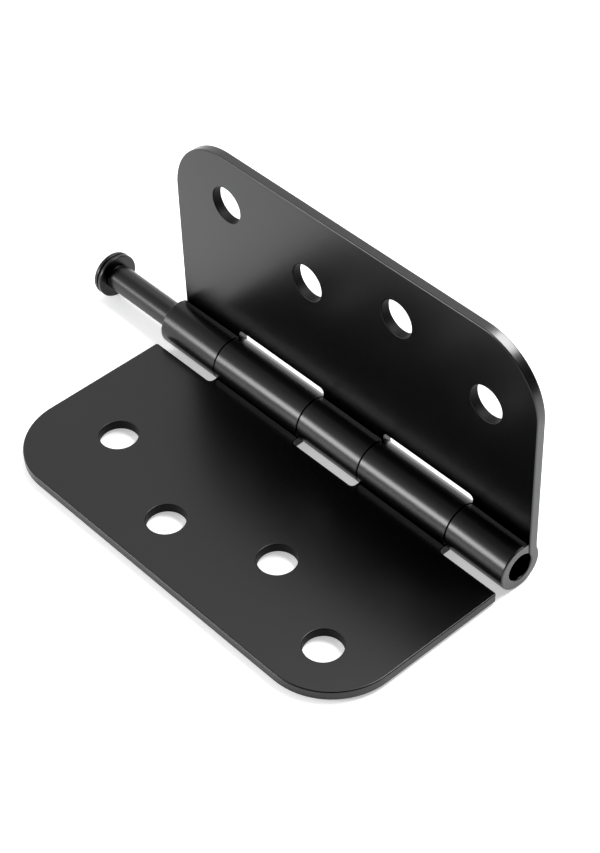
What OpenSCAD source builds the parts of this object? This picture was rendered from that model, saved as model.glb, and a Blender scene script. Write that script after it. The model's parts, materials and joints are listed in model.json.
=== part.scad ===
// Loose-pin butt hinge: two pressed steel leaves curled into five knuckles, and the pin that joins them.
// The leaf that lies flat carries knuckles two and four, the leaf that stands up carries one, three and five.
// Frame: origin in the middle of the flat leaf's mounting face, +Z up from that face,
// +X toward the pin, +Y along the pin toward its head.

/* [Leaves] */
// Height of the leaves, along the pin
hinge_h = 101.6; // [95:0.1:130]
// Reach of each leaf, from the pin axis to its outer edge
leaf_w = 50.8; // [48:0.1:76]
// Thickness of the sheet
sheet_t = 2.2; // [1.8:0.1:2.4]
// Radius of the two outer corners of each leaf
corner_r = 15; // [3:0.5:20]
// Distance from the pin axis to the inner face of each leaf
face_offset = 2.4; // [2.2:0.05:2.6]

/* [Knuckles] */
// Distance from the middle of the barrel to its two outer seams
outer_seam = 34.3; // [30:0.1:38]
// Distance from the middle of the barrel to its two inner seams
inner_seam = 8.95; // [7:0.05:12]
// Shift of the two outer seams toward the headless end
outer_shift = 0.95; // [0:0.05:2]
// Shift of the two inner seams toward the headless end
inner_shift = 1.5; // [0:0.05:2]
// Gap between neighbouring knuckles
knuckle_gap = 0.25; // [0.2:0.05:0.6]
// Outside radius of the bend that sets the barrel back from the leaf
bend_r = 4; // [3:0.5:5]
// Gap between the end of the curl and the leaf that it closes on
curl_gap = 0.1; // [0.05:0.05:0.3]
// Distance from the pin axis to the edge of each cut-out
cutout_reach = 6.5; // [6.3:0.1:8]
// Radius in the inner corners of the cut-outs
cutout_r = 1; // [0.5:0.1:1.2]

/* [Screw holes] */
// Diameter of the plain screw holes
hole_d = 8.2; // [4:0.1:10]
// Flat leaf, column nearer the pin: distance from the axis, middle along the pin, spacing
flat_near_pair = [30.8, 9.7, 49]; // [-60:0.1:60]
// Flat leaf, column farther from the pin: distance from the axis, middle along the pin, spacing
flat_far_pair = [39.4, -14.2, 46]; // [-60:0.1:60]
// Upright leaf, column nearer the pin: distance from the axis, middle along the pin, spacing
upright_near_pair = [32.9, -13.3, 49.1]; // [-60:0.1:60]
// Upright leaf, column farther from the pin: distance from the axis, middle along the pin, spacing
upright_far_pair = [39.1, 10.5, 49]; // [-60:0.1:60]

/* [Pin] */
// Diameter of the pin
pin_d = 6; // [5:0.1:6.2]
// Radial play of the pin in the barrel
pin_play = 0.05; // [0.02:0.01:0.1]
// Length of the pin below its head
pin_len = 100; // [90:0.5:101]
// How far the pin is pulled out of the barrel
pin_pull = 21; // [0:0.5:80]
// Diameter of the pin's head
head_d = 10.2; // [8:0.1:11]
// Thickness of the pin's head
head_t = 2.4; // [2:0.1:4]
// Thickness of the flange under the head's groove
flange_t = 0.9; // [0.7:0.1:1.1]
// Width of the groove around the head
groove_w = 0.3; // [0.2:0.05:0.4]
// Depth of the groove around the head
groove_depth = 0.4; // [0.2:0.05:0.6]
// Radius on the top edge of the head
crown_r = 0.6; // [0.3:0.05:0.8]
// Length of the relief under the head
relief_len = 0.5; // [0.3:0.1:1]
// Depth of the relief under the head
relief_depth = 0.3; // [0.1:0.05:0.5]
// Length of the lead-in at the pin's tip
lead_len = 2; // [1:0.1:4]
// Depth of the lead-in at the pin's tip
lead_depth = 0.8; // [0.4:0.1:1.5]

/* [Hidden] */
$fn = 128;
coat = [0.11, 0.11, 0.12];
pin_r = pin_d / 2;
bore_r = pin_r + pin_play;
barrel_r = bore_r + sheet_t;
back_offset = face_offset + sheet_t;
head_r = head_d / 2;
end_y = hinge_h / 2;
// The pin axis stands over the mounting face, half a leaf from the origin.
axis_x = leaf_w / 2;
axis_z = back_offset;
// The bend leaves the barrel all but tangent, and is tangent to the back of the leaf.
bend_bite = 0.01;
bend_side = back_offset + bend_r;
bend_start = sqrt(pow(barrel_r + bend_r - bend_bite, 2) - pow(bend_side, 2));
mid_offset = face_offset + sheet_t / 2;
curl_end = face_offset - curl_gap;
// Ends of each knuckle along the pin, from the head end down
half_gap = knuckle_gap / 2;
seams = [
    outer_seam - outer_shift,
    inner_seam - inner_shift,
    -inner_seam - inner_shift,
    -outer_seam - outer_shift
];
tops = [end_y, for (seam = seams) seam - half_gap];
bottoms = [for (seam = seams) seam + half_gap, -end_y];
// Extra length that lets cutting shapes and joined shapes pass each other
lap = 1;

// Gap under the sheet that the curl's end leaves open, down into the bore
module curl_mouth() {
    difference() {
        polygon([
            [bore_r / 2, curl_end],
            [barrel_r + lap, curl_end],
            [barrel_r + lap, face_offset],
            [bend_start, face_offset],
            [bend_start, mid_offset],
            [bore_r / 2, mid_offset]
        ]);
        translate([bend_start, bend_side])
            circle(r = bend_r + sheet_t);
    }
}

// Section of one knuckle: x runs out along the leaf, y toward the leaf's back.
module knuckle_section() {
    difference() {
        union() {
            circle(r = barrel_r);
            polygon([
                [0, 0],
                [bend_start, bend_side],
                [bend_start, back_offset],
                [cutout_reach + lap, back_offset],
                [cutout_reach + lap, face_offset],
                [0, face_offset]
            ]);
        }
        circle(r = bore_r);
        translate([bend_start, bend_side])
            circle(r = bend_r);
        curl_mouth();
    }
}

module knuckle(index) {
    translate([0, tops[index], 0])
        rotate([90, 0, 0])
            linear_extrude(height = tops[index] - bottoms[index])
                knuckle_section();
}

// Outline of the leaf beyond its cut-outs, with the two outer corners rounded
module plate_outline() {
    translate([cutout_reach, -end_y])
        square([leaf_w - corner_r - cutout_reach, hinge_h]);
    translate([leaf_w - 2 * corner_r, corner_r - end_y])
        square([2 * corner_r, hinge_h - 2 * corner_r]);
    for (side = [-1, 1])
        translate([leaf_w - corner_r, side * (end_y - corner_r)])
            circle(r = corner_r);
}

// Rounded inner corner of a cut-out, beside a knuckle's end; side is 1 above the knuckle, -1 below
module cutout_corner(y, side) {
    translate([cutout_reach, y])
        mirror([1, 0])
            mirror([0, side > 0 ? 0 : 1])
                difference() {
                    translate([-lap, -lap])
                        square(cutout_r + lap);
                    translate([cutout_r, cutout_r])
                        circle(r = cutout_r);
                }
}

// One leaf with its knuckles: x runs out along the leaf, z toward its back, the pin axis is y.
module leaf(knuckles, near_pair, far_pair) {
    difference() {
        union() {
            translate([0, 0, face_offset])
                linear_extrude(height = sheet_t) {
                    plate_outline();
                    for (index = knuckles) {
                        if (tops[index] < end_y)
                            cutout_corner(tops[index], 1);
                        if (bottoms[index] > -end_y)
                            cutout_corner(bottoms[index], -1);
                    }
                }
            for (index = knuckles)
                knuckle(index);
        }
        for (pair = [near_pair, far_pair], side = [-1, 1])
            translate([pair[0], pair[1] + side * pair[2] / 2, face_offset - lap])
                cylinder(d = hole_d, h = sheet_t + 2 * lap);
    }
}

module flat_leaf() {
    color(coat)
        translate([axis_x, 0, axis_z])
            rotate([0, 180, 0])
                leaf([1, 3], flat_near_pair, flat_far_pair);
}

module upright_leaf() {
    color(coat)
        translate([axis_x, 0, axis_z])
            rotate([0, -90, 0])
                mirror([0, 0, 1])
                    leaf([0, 2, 4], upright_near_pair, upright_far_pair);
}

// Half section of the head, from the underside of the flange up
module head_section() {
    square([head_r, flange_t]);
    square([head_r - groove_depth, head_t - crown_r]);
    translate([0, flange_t + groove_w])
        square([head_r, head_t - flange_t - groove_w - crown_r]);
    square([head_r - crown_r, head_t]);
    translate([head_r - crown_r, head_t - crown_r])
        circle(r = crown_r);
}

// Half section of the shaft, from its tip at the bottom to the head at zero
module shaft_section() {
    translate([0, -relief_len])
        square([pin_r - relief_depth, relief_len + flange_t]);
    translate([0, lead_len - pin_len])
        square([pin_r, pin_len - lead_len - relief_len]);
    polygon([
        [0, -pin_len],
        [pin_r - lead_depth, -pin_len],
        [pin_r, lead_len - pin_len],
        [0, lead_len - pin_len]
    ]);
}

module hinge_pin() {
    color(coat)
        translate([axis_x, end_y + pin_pull, axis_z])
            rotate([-90, 0, 0])
                rotate_extrude() {
                    head_section();
                    shaft_section();
                }
}

flat_leaf();
upright_leaf();
hinge_pin();
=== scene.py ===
import json
import math

import bmesh
import bpy
from mathutils import Matrix, Vector
from mathutils.geometry import delaunay_2d_cdt


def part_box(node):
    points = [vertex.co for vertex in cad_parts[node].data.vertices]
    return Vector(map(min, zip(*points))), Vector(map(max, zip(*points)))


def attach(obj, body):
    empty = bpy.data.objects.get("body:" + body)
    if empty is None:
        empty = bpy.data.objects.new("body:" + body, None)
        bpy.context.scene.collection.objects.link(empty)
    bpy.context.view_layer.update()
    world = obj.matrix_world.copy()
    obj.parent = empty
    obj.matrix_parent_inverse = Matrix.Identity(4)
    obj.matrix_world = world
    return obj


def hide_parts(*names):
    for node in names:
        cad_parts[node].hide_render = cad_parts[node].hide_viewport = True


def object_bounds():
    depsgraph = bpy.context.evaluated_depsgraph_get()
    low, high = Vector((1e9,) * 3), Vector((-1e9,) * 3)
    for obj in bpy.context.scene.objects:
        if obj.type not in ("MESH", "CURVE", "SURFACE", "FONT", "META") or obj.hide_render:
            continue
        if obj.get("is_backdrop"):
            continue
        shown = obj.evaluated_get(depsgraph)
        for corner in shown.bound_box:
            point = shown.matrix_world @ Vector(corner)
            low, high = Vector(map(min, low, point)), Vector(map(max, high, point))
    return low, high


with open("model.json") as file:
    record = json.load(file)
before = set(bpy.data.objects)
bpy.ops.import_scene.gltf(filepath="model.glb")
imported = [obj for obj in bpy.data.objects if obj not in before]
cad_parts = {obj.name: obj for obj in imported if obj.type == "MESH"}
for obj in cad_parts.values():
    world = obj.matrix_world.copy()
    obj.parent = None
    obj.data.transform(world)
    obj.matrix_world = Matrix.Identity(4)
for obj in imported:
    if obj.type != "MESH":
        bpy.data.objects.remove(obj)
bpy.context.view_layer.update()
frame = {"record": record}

MM = 0.001

# Sizes of the pressed sheet and of the pin, in millimetres, as the CAD model has them
HINGE_H = 101.6
LEAF_W = 50.8
SHEET_T = 2.2
CORNER_R = 15.0
FACE_OFFSET = 2.4
KNUCKLE_GAP = 0.25
SEAMS = (33.35, 7.45, -10.45, -35.25)
BEND_R = 4.0
BEND_BITE = 0.01
CURL_GAP = 0.1
CUTOUT_REACH = 6.5
CUTOUT_R = 1.0
BORE_R = 3.05
PIN_R = 3.0
PIN_LEN = 100.0
PIN_PULL = 21.0
LEAD_LEN = 2.0
LEAD_DEPTH = 0.8
RELIEF_LEN = 0.5
RELIEF_DEPTH = 0.3
HEAD_R = 5.1
HEAD_T = 2.4
FLANGE_T = 0.9
GROOVE_W = 0.3
GROOVE_DEPTH = 0.4
CROWN_R = 0.6

# Softened edges of the leaves: round the leaf, at the seams, at the barrel's ends, at the holes
EDGE_R = 0.28
SEAM_EDGE_R = 0.1
END_EDGE_R = 0.35
HOLE_EDGE_R = 0.2
# How near the barrel's end a point has to be to count as on it
END_BAND = 1.0
# Corners of the tabs that are curled, rounder than any softened edge that meets them
TAB_CORNER_R = 0.5

# Softened edges of the pin
TIP_EDGE_R = 0.3
LEAD_EDGE_R = 0.8
SHOULDER_EDGE_R = 0.12
RELIEF_EDGE_R = 0.1
FLANGE_EDGE_R = 0.3
FLANGE_TOP_EDGE_R = 0.22
GROOVE_EDGE_R = 0.06
RIM_EDGE_R = 0.2

# How finely the curves are drawn; small corners get a share of the steps that large ones get
EDGE_STEPS = 4
ARC_STEP = math.radians(5)
SMALL_CORNER_R = 3.0
SMALL_CORNER_SHARE = 0.35
MIN_CORNER_STEPS = 3
MIN_BEND_STEPS = 4
# Rungs left out at the curl's end, where the tab's corners are
END_RUNGS = 2
HOLE_SIDES = 72
PIN_SIDES = 96
FLOOR_SIDES = 96

# Distance under which two points count as level, and the sharpest slant that an inset follows
TOUCH = 0.0001
MIN_REACH = 0.3
# The triangulator's whole-face output, and its tolerance
CAP_OUTPUT = 4
CAP_EPSILON = 1e-7
# How strongly the larger faces set the shading where faces meet
NORMAL_WEIGHT = 80

# Looks of the coat: darkest and lightest tone, roughness range, and how strong the grain is.
# Each roughness range keeps to one side of 0.274: the leaves showed faint outlines while theirs crossed it.
LEAF_TONES = ((0.0003, 0.0003, 0.0004), (0.0009, 0.0009, 0.0010))
LEAF_GLOSS = (0.25, 0.272)
LEAF_GRAIN = 0.6
PIN_TONES = ((0.0005, 0.0005, 0.0006), (0.0012, 0.0012, 0.0014))
PIN_GLOSS = (0.276, 0.32)
PIN_GRAIN = 0.3
COAT_IOR = 1.4
PLAIN_SPECULAR = 0.5
BRIGHT_EDGE_SPECULAR = 0.9
WALL_ROUGHNESS = 0.6
WALL_SPECULAR = 0.2

# Noise: scale in cycles per metre, detail and roughness
FINE_GRAIN = (5200.0, 2.0, 0.55)
ORANGE_PEEL = (900.0, 2.0, 0.5)
CLOUDING = (55.0, 3.0, 0.5)
FLOOR_TOOTH = (700.0, 3.0, 0.6)
# The part of its range that noise mostly keeps to
NOISE_LOW = 0.3
NOISE_HIGH = 0.7

# Bumps: strength, and height in metres
PEEL_STRENGTH = 0.25
PEEL_HEIGHT = 0.00002
GRAIN_STRENGTH = 0.35
GRAIN_HEIGHT = 0.00001
TOOTH_STRENGTH = 0.05
TOOTH_HEIGHT = 0.00002

# Looks of the floor
FLOOR_TONES = ((0.78, 0.785, 0.79), (0.80, 0.803, 0.805))
FLOOR_ROUGHNESS = 0.9
FLOOR_SPECULAR = 0.1
FLOOR_GLOW = 0.45
FLOOR_RADIUS = 4.0
WHITE = (1, 1, 1, 1)

# Surroundings: brightness behind, in front, and overhead to the left and right
BACK_LIGHT = 1.25
FRONT_LIGHT = 0.1
ZENITH_LEFT = 0.3
ZENITH_RIGHT = 2.8
# The direction that counts as behind, and where the brightness changes along each direction
BEHIND = (0.1, 0.995, 0)
BEHIND_SPAN = (-0.2, 0.7)
UP_SPAN = (0.68, 0.86)
RIGHT_SPAN = (0.1, 0.4)

# Softboxes: place, size and brightness; both aim at the origin
ORIGIN = (0, 0, 0)
TOP_PLACE = (0.33, -0.07, 0.55)
TOP_SIZE = (0.32, 0.34)
TOP_BRIGHTNESS = 15
SIDE_PLACE = (-0.78, 0.45, 0.29)
SIDE_SIZE = (0.4, 0.28)
SIDE_BRIGHTNESS = 20

# Camera, in metres and millimetres, and the level that the picture takes as black
CAMERA_PLACE = (-0.19678, -0.24231, 0.32194)
CAMERA_AIM = (0.0205, 0.0066, 0.0062)
CAMERA_LENS = 93.98
CAMERA_ROLL = math.radians(-2.2)
SENSOR_WIDTH = 36
CLIP_START = 0.01
CLIP_END = 20
BLACK_LEVEL = (0.002, 0.002, 0.002)

END_Y = HINGE_H / 2
BARREL_R = BORE_R + SHEET_T
BACK_OFFSET = FACE_OFFSET + SHEET_T
BEND_SIDE = BACK_OFFSET + BEND_R
BEND_START = math.sqrt((BARREL_R + BEND_R - BEND_BITE) ** 2 - BEND_SIDE**2)
BEND_SWEEP = math.atan2(BEND_START, BEND_SIDE)
BEND_LENGTH = (BEND_R + SHEET_T / 2) * BEND_SWEEP
CURL_END = FACE_OFFSET - CURL_GAP
CURL_MID_R = BORE_R + SHEET_T / 2
CURL_SWEEP = 2 * math.pi + BEND_SWEEP - math.acos(CURL_END / CURL_MID_R)
CURL_LENGTH = CURL_MID_R * CURL_SWEEP
TIP = BEND_START - BEND_LENGTH - CURL_LENGTH

low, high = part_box("hinge_pin")
AXIS_X = (low.x + high.x) / 2 / MM
AXIS_Z = (low.z + high.z) / 2 / MM


# ---------------------------------------------------------------- outlines


def knuckles():
    """The two ends along the pin of each knuckle, from the head end down."""
    half = KNUCKLE_GAP / 2
    tops = [END_Y, *[seam - half for seam in SEAMS]]
    bottoms = [*[seam + half for seam in SEAMS], -END_Y]
    return list(zip(tops, bottoms))


def rounded(corners):
    """Points of a closed outline, each corner given as x, y and the radius on it."""
    points = []
    for i, (x, y, radius) in enumerate(corners):
        here = Vector((x, y))
        before = (Vector(corners[i - 1][:2]) - here).normalized()
        after = (Vector(corners[(i + 1) % len(corners)][:2]) - here).normalized()
        if radius == 0:
            points.append(here)
            continue
        half = before.angle(after) / 2
        centre = here + (before + after).normalized() * (radius / math.sin(half))
        start = here + before * (radius / math.tan(half)) - centre
        turn = math.pi - 2 * half
        fineness = min(1.0, radius / SMALL_CORNER_R + SMALL_CORNER_SHARE)
        steps = max(MIN_CORNER_STEPS, round(turn / ARC_STEP * fineness))
        side = 1 if before.cross(after) < 0 else -1
        for step in range(steps + 1):
            points.append(centre + Matrix.Rotation(side * turn * step / steps, 2) @ start)
    return points


def leaf_corners(numbers):
    """Corners of a leaf's flat pattern, anticlockwise: x out from the pin axis, y along the pin."""
    corners = [(LEAF_W, -END_Y, CORNER_R), (LEAF_W, END_Y, CORNER_R)]
    if 0 not in numbers:
        corners.append((CUTOUT_REACH, END_Y, TAB_CORNER_R))
    for number in numbers:
        top, bottom = knuckles()[number]
        if top < END_Y:
            corners.append((CUTOUT_REACH, top, CUTOUT_R))
        corners.append((TIP, top, TAB_CORNER_R))
        corners.append((TIP, bottom, TAB_CORNER_R))
        if bottom > -END_Y:
            corners.append((CUTOUT_REACH, bottom, CUTOUT_R))
    if len(SEAMS) not in numbers:
        corners.append((CUTOUT_REACH, -END_Y, TAB_CORNER_R))
    return corners


def rungs():
    """Where the flat pattern needs points across it, so that it can bend smoothly."""
    bend_steps = max(MIN_BEND_STEPS, round(BEND_SWEEP / ARC_STEP))
    curl_steps = round(CURL_SWEEP / ARC_STEP)
    bend = [BEND_START - BEND_LENGTH * i / bend_steps for i in range(bend_steps)]
    start = BEND_START - BEND_LENGTH
    curl = [start - CURL_LENGTH * i / curl_steps for i in range(curl_steps - END_RUNGS)]
    return bend + curl


def with_rungs(points, stations):
    """The outline with a point wherever a straight run along x passes a station."""
    out = []
    for i, here in enumerate(points):
        there = points[(i + 1) % len(points)]
        out.append(here)
        if abs(here.y - there.y) > TOUCH:
            continue
        low_x, high_x = min(here.x, there.x), max(here.x, there.x)
        passed = [x for x in stations if low_x + TOUCH < x < high_x - TOUCH]
        passed.sort(reverse=here.x > there.x)
        out += [Vector((x, here.y)) for x in passed]
    return out


def inset(points, distances):
    """The outline moved into the material on its left, by a distance for each point."""
    out = []
    for i, here in enumerate(points):
        a = (here - points[i - 1]).normalized()
        b = (points[(i + 1) % len(points)] - here).normalized()
        normal = Vector((-a.y - b.y, a.x + b.x)).normalized()
        reach = max(MIN_REACH, normal.dot(Vector((-a.y, a.x))))
        out.append(here + normal * (distances[i] / reach))
    return out


# ---------------------------------------------------------------- meshes


def bend(x, depth):
    """Place of a point of the flat pattern after pressing: along the leaf, and toward its back."""
    run = BEND_START - x
    if run <= 0:
        return x, FACE_OFFSET + depth
    if run <= BEND_LENGTH:
        angle = BEND_SWEEP * run / BEND_LENGTH
        radius = BEND_R + SHEET_T - depth
        return BEND_START - radius * math.sin(angle), BEND_SIDE - radius * math.cos(angle)
    radius = BORE_R + depth
    sweep = 2 * math.pi + BEND_SWEEP - math.acos(CURL_END / radius)
    angle = BEND_SWEEP - sweep * (run - BEND_LENGTH) / CURL_LENGTH
    return radius * math.sin(angle), radius * math.cos(angle)


def edge_radii(loop):
    """How far the edge is rounded at each point of the leaf's outline."""
    radii = []
    for p in loop:
        barrel_r = END_EDGE_R if END_Y - abs(p.y) < END_BAND else SEAM_EDGE_R
        share = min(1, max(0, p.x - CUTOUT_REACH + CUTOUT_R))
        radii.append(barrel_r + (EDGE_R - barrel_r) * share)
    return radii


def edge_profile():
    """Inset, and depth from the nearer face, in edge radii, of each ring of points; and its face."""
    turn = [math.pi / 2 * i / EDGE_STEPS for i in range(EDGE_STEPS + 1)]
    face = [(1 - math.sin(a), 1 - math.cos(a)) for a in turn]
    return [(x, depth, 0) for x, depth in face] + [(x, depth, 1) for x, depth in reversed(face)]


def cap_faces(loops, stations):
    """Faces that fill the sheet's outline, leaving the screw holes open."""
    flat = [p for loop in loops for p in loop]
    owner = [n for n, loop in enumerate(loops) for p in loop]
    edges = []
    start = 0
    for loop in loops:
        edges += [(start + i, start + (i + 1) % len(loop)) for i in range(len(loop))]
        start += len(loop)
    for x in stations:
        across = [i for i, p in enumerate(flat) if abs(p.x - x) < TOUCH and owner[i] == 0]
        across.sort(key=lambda i: flat[i].y)
        edges += list(zip(across[0::2], across[1::2]))
    found = delaunay_2d_cdt(flat, edges, [], CAP_OUTPUT, CAP_EPSILON)
    _, _, found_faces, point_origins, _, _ = found
    index = [origin[0] for origin in point_origins]
    faces = [[index[i] for i in face] for face in found_faces]
    return [f for f in faces if not (len({owner[i] for i in f}) == 1 and owner[f[0]] > 0)]


def hole_loop(centre):
    """A screw hole's edge, clockwise so that the material is on its left."""
    turn = [-2 * math.pi * i / HOLE_SIDES for i in range(HOLE_SIDES)]
    return [centre + Vector((math.cos(a), math.sin(a))) * HOLE_R for a in turn]


def mesh_object(name, points, faces):
    """A smooth-shaded object of those points, in metres, and faces."""
    mesh = bpy.data.meshes.new(name)
    mesh.from_pydata(points, [], faces)
    bm = bmesh.new()
    bm.from_mesh(mesh)
    bmesh.ops.recalc_face_normals(bm, faces=bm.faces)
    for face in bm.faces:
        face.smooth = True
    bm.to_mesh(mesh)
    bm.free()
    obj = bpy.data.objects.new(name, mesh)
    bpy.context.scene.collection.objects.link(obj)
    weighted = obj.modifiers.new("weighted_normals", "WEIGHTED_NORMAL")
    weighted.weight = NORMAL_WEIGHT
    return obj


def mark_points(mesh, name, values):
    """Marks points of the mesh for the material."""
    layer = mesh.attributes.new(name, "FLOAT", "POINT")
    layer.data.foreach_set("value", values)


def leaf_mesh(name, numbers, holes, place):
    """A pressed leaf: its flat pattern with softened edges, bent into knuckles and put in place."""
    stations = rungs()
    outline = with_rungs(rounded(leaf_corners(numbers)), stations)
    loops = [outline, *[hole_loop(centre) for centre in holes]]
    radii = [edge_radii(outline), *[[HOLE_EDGE_R] * HOLE_SIDES for centre in holes]]
    rings = edge_profile()
    points = []
    walls = []
    edges = []
    faces = []
    front = []
    back = []
    for loop, radius in zip(loops, radii):
        first = len(points)
        count = len(loop)
        for ring, (share, drop, side) in enumerate(rings):
            for p, r in zip(inset(loop, [share * r for r in radius]), radius):
                along, across = bend(p.x, SHEET_T - drop * r if side else drop * r)
                points.append(place(along, p.y, across))
                within = 1 < ring < len(rings) - 2
                walls.append(float(within and loop is not outline))
                edges.append(float(within and loop is outline))
        for ring in range(len(rings) - 1):
            for i in range(count):
                a = first + ring * count
                b = a + count
                j = (i + 1) % count
                faces.append((a + i, a + j, b + j, b + i))
        front += range(first, first + count)
        back += range(first + (len(rings) - 1) * count, first + len(rings) * count)
    cap = cap_faces([inset(loop, radius) for loop, radius in zip(loops, radii)], stations)
    faces += [[front[i] for i in face] for face in cap]
    faces += [[back[i] for i in reversed(face)] for face in cap]
    obj = mesh_object(name, points, faces)
    mark_points(obj.data, "punched_wall", walls)
    mark_points(obj.data, "cut_edge", edges)
    return obj


def place_flat(along, y, across):
    """A leaf point on the leaf that lies on its back."""
    return Vector((AXIS_X - along, y, AXIS_Z - across)) * MM


def place_upright(along, y, across):
    """A leaf point on the leaf that stands up."""
    return Vector((AXIS_X + across, y, AXIS_Z + along)) * MM


def pin_corners():
    """Corners of the pin's half section: radius, place along the pin, and rounding."""
    head = END_Y + PIN_PULL
    tip = head - PIN_LEN
    relief = head - RELIEF_LEN
    flange = head + FLANGE_T
    rim = flange + GROOVE_W
    top = head + HEAD_T
    relief_r = PIN_R - RELIEF_DEPTH
    groove_r = HEAD_R - GROOVE_DEPTH
    return [
        (0, tip, 0),
        (PIN_R - LEAD_DEPTH, tip, TIP_EDGE_R),
        (PIN_R, tip + LEAD_LEN, LEAD_EDGE_R),
        (PIN_R, relief, SHOULDER_EDGE_R),
        (relief_r, relief, RELIEF_EDGE_R),
        (relief_r, head, RELIEF_EDGE_R),
        (HEAD_R, head, FLANGE_EDGE_R),
        (HEAD_R, flange, FLANGE_TOP_EDGE_R),
        (groove_r, flange, GROOVE_EDGE_R),
        (groove_r, rim, GROOVE_EDGE_R),
        (HEAD_R, rim, RIM_EDGE_R),
        (HEAD_R, top, CROWN_R),
        (0, top, 0),
    ]


def pin_mesh(name):
    """The pin, turned about the hinge axis from its half section."""
    section = rounded(pin_corners())
    middle = section[1:-1]
    ends = (section[0], section[-1])
    points = [Vector((AXIS_X, p.y, AXIS_Z)) * MM for p in ends]
    for p in middle:
        for i in range(PIN_SIDES):
            a = 2 * math.pi * i / PIN_SIDES
            spot = Vector((AXIS_X + p.x * math.cos(a), p.y, AXIS_Z + p.x * math.sin(a)))
            points.append(spot * MM)
    faces = []
    last = 2 + (len(middle) - 1) * PIN_SIDES
    for i in range(PIN_SIDES):
        j = (i + 1) % PIN_SIDES
        faces.append((0, 2 + i, 2 + j))
        faces.append((1, last + j, last + i))
        for ring in range(len(middle) - 1):
            a = 2 + ring * PIN_SIDES
            b = a + PIN_SIDES
            faces.append((a + i, b + i, b + j, a + j))
    return mesh_object(name, points, faces)


# ---------------------------------------------------------------- materials


def node_material(name):
    """A material with a bare Principled shader: its nodes, links and shader."""
    material = bpy.data.materials.new(name)
    material.use_nodes = True
    tree = material.node_tree
    return material, tree.nodes, tree.links, tree.nodes["Principled BSDF"]


def noise(nodes, links, source, scale, detail, roughness):
    """Noise over the object, from 0 to 1."""
    node = nodes.new("ShaderNodeTexNoise")
    node.inputs["Scale"].default_value = scale
    node.inputs["Detail"].default_value = detail
    node.inputs["Roughness"].default_value = roughness
    links.new(source, node.inputs["Vector"])
    return node.outputs["Fac"]


def ramp(nodes, links, source, low_value, high_value):
    """Maps noise, which keeps near its middle, onto a range."""
    node = nodes.new("ShaderNodeMapRange")
    node.inputs["From Min"].default_value = NOISE_LOW
    node.inputs["From Max"].default_value = NOISE_HIGH
    node.inputs["To Min"].default_value = low_value
    node.inputs["To Max"].default_value = high_value
    links.new(source, node.inputs["Value"])
    return node.outputs["Result"]


def bump(nodes, links, height, strength, distance, under=None):
    """A relief, laid over another one where that is given."""
    node = nodes.new("ShaderNodeBump")
    node.inputs["Strength"].default_value = strength
    node.inputs["Distance"].default_value = distance
    links.new(height, node.inputs["Height"])
    if under is not None:
        links.new(under, node.inputs["Normal"])
    return node.outputs["Normal"]


def blend(nodes, links, share, start, end):
    """Goes from one value, or socket, to another as share goes from 0 to 1."""
    node = nodes.new("ShaderNodeMix")
    links.new(share, node.inputs["Factor"])
    for socket, value in ((node.inputs["A"], start), (node.inputs["B"], end)):
        if isinstance(value, float):
            socket.default_value = value
        else:
            links.new(value, socket)
    return node.outputs["Result"]


def tone(nodes, links, share, dark, light):
    """Goes from the dark colour to the light one as share goes from 0 to 1."""
    node = nodes.new("ShaderNodeMix")
    node.data_type = "RGBA"
    node.inputs["A"].default_value = (*dark, 1)
    node.inputs["B"].default_value = (*light, 1)
    links.new(share, node.inputs["Factor"])
    return node.outputs["Result"]


def mark(nodes, name):
    """A mark that the mesh carries, from 0 to 1."""
    node = nodes.new("ShaderNodeAttribute")
    node.attribute_name = name
    return node.outputs["Fac"]


def coat_material(name, tones, gloss_range, grain, edge_shine):
    """Black powder coat: fine grain, faint orange peel, cloudy gloss, and dull punched walls."""
    material, nodes, links, shader = node_material(name)
    where = nodes.new("ShaderNodeTexCoord").outputs["Object"]
    fine = noise(nodes, links, where, *FINE_GRAIN)
    peel = noise(nodes, links, where, *ORANGE_PEEL)
    cloud = noise(nodes, links, where, *CLOUDING)
    colour = tone(nodes, links, ramp(nodes, links, fine, 0.0, 1.0), *tones)
    links.new(colour, shader.inputs["Base Color"])
    wall = mark(nodes, "punched_wall")
    edge = mark(nodes, "cut_edge")
    gloss = ramp(nodes, links, cloud, *gloss_range)
    shine = blend(nodes, links, edge, PLAIN_SPECULAR, edge_shine)
    links.new(blend(nodes, links, wall, gloss, WALL_ROUGHNESS), shader.inputs["Roughness"])
    links.new(blend(nodes, links, wall, shine, WALL_SPECULAR), shader.inputs["Specular IOR Level"])
    rolling = bump(nodes, links, peel, PEEL_STRENGTH * grain, PEEL_HEIGHT)
    grainy = bump(nodes, links, fine, GRAIN_STRENGTH * grain, GRAIN_HEIGHT, rolling)
    links.new(grainy, shader.inputs["Normal"])
    shader.inputs["IOR"].default_value = COAT_IOR
    return material


def floor_material(name):
    """Pale studio board, lit a little from below, with a hardly visible tooth."""
    material, nodes, links, shader = node_material(name)
    where = nodes.new("ShaderNodeTexCoord").outputs["Object"]
    tooth = noise(nodes, links, where, *FLOOR_TOOTH)
    links.new(tone(nodes, links, tooth, *FLOOR_TONES), shader.inputs["Base Color"])
    shader.inputs["Roughness"].default_value = FLOOR_ROUGHNESS
    shader.inputs["Emission Color"].default_value = WHITE
    shader.inputs["Emission Strength"].default_value = FLOOR_GLOW
    shader.inputs["Specular IOR Level"].default_value = FLOOR_SPECULAR
    relief = bump(nodes, links, tooth, TOOTH_STRENGTH, TOOTH_HEIGHT)
    links.new(relief, shader.inputs["Normal"])
    return material


def dress(obj, material, body, node):
    """Puts a piece in a CAD node's place."""
    obj.data.materials.append(material)
    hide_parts(node)
    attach(obj, body)


# ---------------------------------------------------------------- pieces

mounts = {mount["name"]: mount for mount in frame["record"]["mounts"]}
HOLE_R = mounts["flat_leaf_near_holes"]["dims"]["hole_r_mm"]


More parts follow.
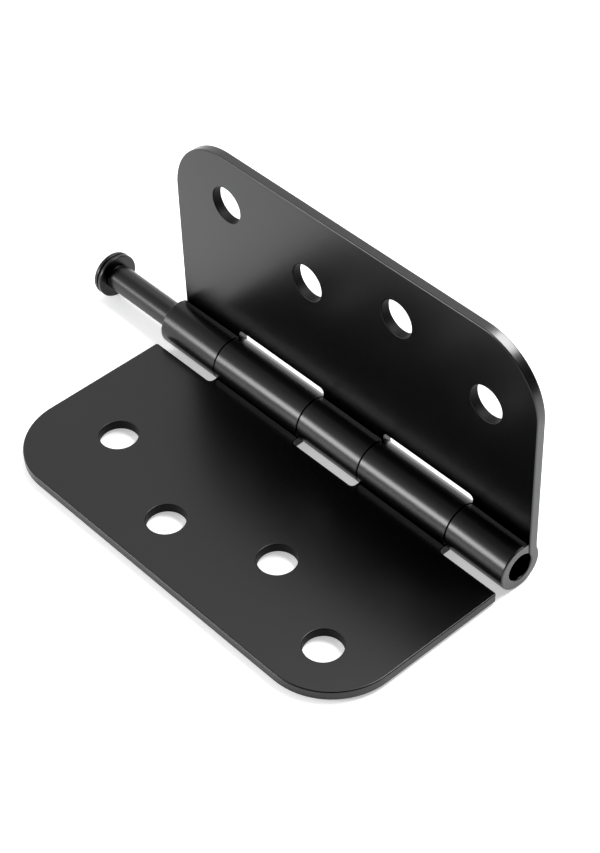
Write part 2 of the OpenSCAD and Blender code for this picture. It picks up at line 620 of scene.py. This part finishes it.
def hole_pair(mount, out, spacing):
    """Centres of a column of two holes, from its distance to the pin axis and its spacing's name."""
    half = mount["dims"][spacing] / 2
    along = mount["pos_m"][1] / MM
    return [Vector((out, along + side * half)) for side in (-1, 1)]


def flat_holes():
    """Centres of the flat leaf's screw holes: distance from the pin axis, place along the pin."""
    centres = []
    for name in ("flat_leaf_near_holes", "flat_leaf_far_holes"):
        mount = mounts[name]
        centres += hole_pair(mount, AXIS_X - mount["pos_m"][0] / MM, "spacing_y_mm")
    return centres


def upright_holes():
    """Centres of the upright leaf's screw holes: distance from the pin axis, place along the pin."""
    centres = []
    for name in ("upright_leaf_near_holes", "upright_leaf_far_holes"):
        mount = mounts[name]
        centres += hole_pair(mount, mount["pos_m"][2] / MM - AXIS_Z, "spacing_x_mm")
    return centres


flat_coat = coat_material("flat_powder_coat", LEAF_TONES, LEAF_GLOSS, LEAF_GRAIN, PLAIN_SPECULAR)
upright_coat = coat_material(
    "upright_powder_coat", LEAF_TONES, LEAF_GLOSS, LEAF_GRAIN, BRIGHT_EDGE_SPECULAR
)
pin_coat = coat_material("pin_powder_coat", PIN_TONES, PIN_GLOSS, PIN_GRAIN, PLAIN_SPECULAR)

flat = leaf_mesh("flat_leaf_pressed", (1, 3), flat_holes(), place_flat)
dress(flat, flat_coat, "flat_leaf", "flat_leaf")
upright = leaf_mesh("upright_leaf_pressed", (0, 2, 4), upright_holes(), place_upright)
dress(upright, upright_coat, "upright_leaf", "upright_leaf")
pin = pin_mesh("hinge_pin_turned")
dress(pin, pin_coat, "hinge_pin", "hinge_pin")

# ---------------------------------------------------------------- studio


def floor(height, radius):
    """A wide round sheet of pale board under the object."""
    bm = bmesh.new()
    bmesh.ops.create_circle(bm, cap_ends=True, radius=radius, segments=FLOOR_SIDES)
    mesh = bpy.data.meshes.new("studio_floor")
    bm.to_mesh(mesh)
    bm.free()
    obj = bpy.data.objects.new("studio_floor", mesh)
    obj.location = (0, 0, height)
    obj.data.materials.append(floor_material("pale_board"))
    bpy.context.scene.collection.objects.link(obj)
    obj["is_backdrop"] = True


def softbox(name, place, aim, size, brightness):
    """A soft rectangular studio light, as bright as a surface of that radiance."""
    data = bpy.data.lights.new(name, "AREA")
    data.shape = "RECTANGLE"
    data.size, data.size_y = size
    data.energy = brightness * math.pi * size[0] * size[1]
    obj = bpy.data.objects.new(name, data)
    obj.location = place
    obj.rotation_euler = (Vector(aim) - Vector(place)).to_track_quat("-Z", "Y").to_euler()
    bpy.context.scene.collection.objects.link(obj)


def world_light():
    """Soft surroundings: pale behind the object, dim in front, and paler overhead toward the right."""
    world = bpy.data.worlds.new("studio")
    bpy.context.scene.world = world
    world.use_nodes = True
    nodes, links = world.node_tree.nodes, world.node_tree.links
    direction = nodes.new("ShaderNodeTexCoord").outputs["Generated"]
    split = nodes.new("ShaderNodeSeparateXYZ")
    links.new(direction, split.inputs["Vector"])
    toward = nodes.new("ShaderNodeVectorMath")
    toward.operation = "DOT_PRODUCT"
    toward.inputs[1].default_value = BEHIND
    links.new(direction, toward.inputs[0])
    behind = toward.outputs["Value"]
    sides = world_blend(nodes, links, behind, BEHIND_SPAN, FRONT_LIGHT, BACK_LIGHT)
    up = world_blend(nodes, links, split.outputs["Z"], UP_SPAN, 0.0, 1.0)
    right = split.outputs["X"]
    overhead = world_blend(nodes, links, right, RIGHT_SPAN, ZENITH_LEFT, ZENITH_RIGHT)
    strength = blend(nodes, links, up, sides, overhead)
    links.new(strength, nodes["Background"].inputs["Strength"])
    nodes["Background"].inputs["Color"].default_value = WHITE


def world_blend(nodes, links, source, span, start, end):
    """A smooth change from start to end as source crosses the span."""
    node = nodes.new("ShaderNodeMapRange")
    node.interpolation_type = "SMOOTHSTEP"
    node.inputs["From Min"].default_value = span[0]
    node.inputs["From Max"].default_value = span[1]
    node.inputs["To Min"].default_value = start
    node.inputs["To Max"].default_value = end
    links.new(source, node.inputs["Value"])
    return node.outputs["Result"]


def camera(place, aim, lens, roll):
    """The picture's camera, turned by the roll about its own line of sight."""
    data = bpy.data.cameras.new("camera")
    data.lens = lens
    data.sensor_width = SENSOR_WIDTH
    data.clip_start = CLIP_START
    data.clip_end = CLIP_END
    obj = bpy.data.objects.new("camera", data)
    obj.location = place
    turn = (Vector(aim) - Vector(place)).to_track_quat("-Z", "Y").to_matrix()
    obj.rotation_euler = (turn @ Matrix.Rotation(roll, 3, "Z")).to_euler()
    bpy.context.scene.collection.objects.link(obj)
    bpy.context.scene.camera = obj


floor(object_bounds()[0].z, FLOOR_RADIUS)
world_light()
softbox("top", TOP_PLACE, ORIGIN, TOP_SIZE, TOP_BRIGHTNESS)
softbox("side", SIDE_PLACE, ORIGIN, SIDE_SIZE, SIDE_BRIGHTNESS)
camera(CAMERA_PLACE, CAMERA_AIM, CAMERA_LENS, CAMERA_ROLL)

view = bpy.context.scene.view_settings
view.view_transform = "Standard"
view.look = "None"
view.use_curve_mapping = True
view.curve_mapping.black_level = BLACK_LEVEL
view.curve_mapping.update()
